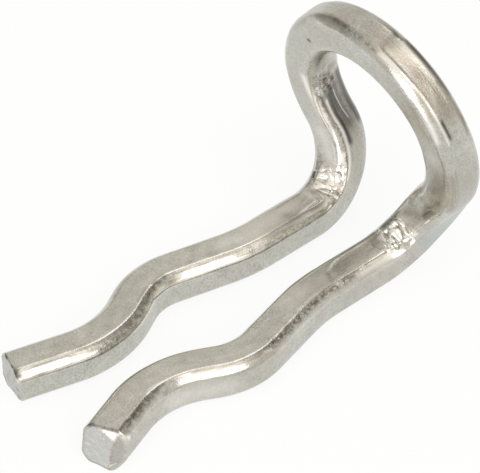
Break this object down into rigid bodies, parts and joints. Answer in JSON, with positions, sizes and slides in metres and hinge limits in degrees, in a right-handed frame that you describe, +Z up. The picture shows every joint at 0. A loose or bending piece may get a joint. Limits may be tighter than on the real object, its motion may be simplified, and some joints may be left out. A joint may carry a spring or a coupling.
{
  "type": "spring cotter pin",
  "caption": "Spring cotter pin of square wire: waved legs lie flat and snap round a shaft, and a round looped head folds up behind them to pull it out by.",
  "frame": {"origin": "on the axis of the shaft that the legs close round, in the plane of the legs' underside", "axes": "+X across the legs, +Y from the tips to the folded head, +Z up along the shaft"},
  "size_m": [0.011, 0.0207, 0.0125],
  "materials": {
    "plated_steel": "satin nickel plate on drawn square spring wire, brighter on the rounded corners"
  },
  "bodies": {
    "root": {"cotter_pin": "plated_steel"}
  },
  "joints": []
}
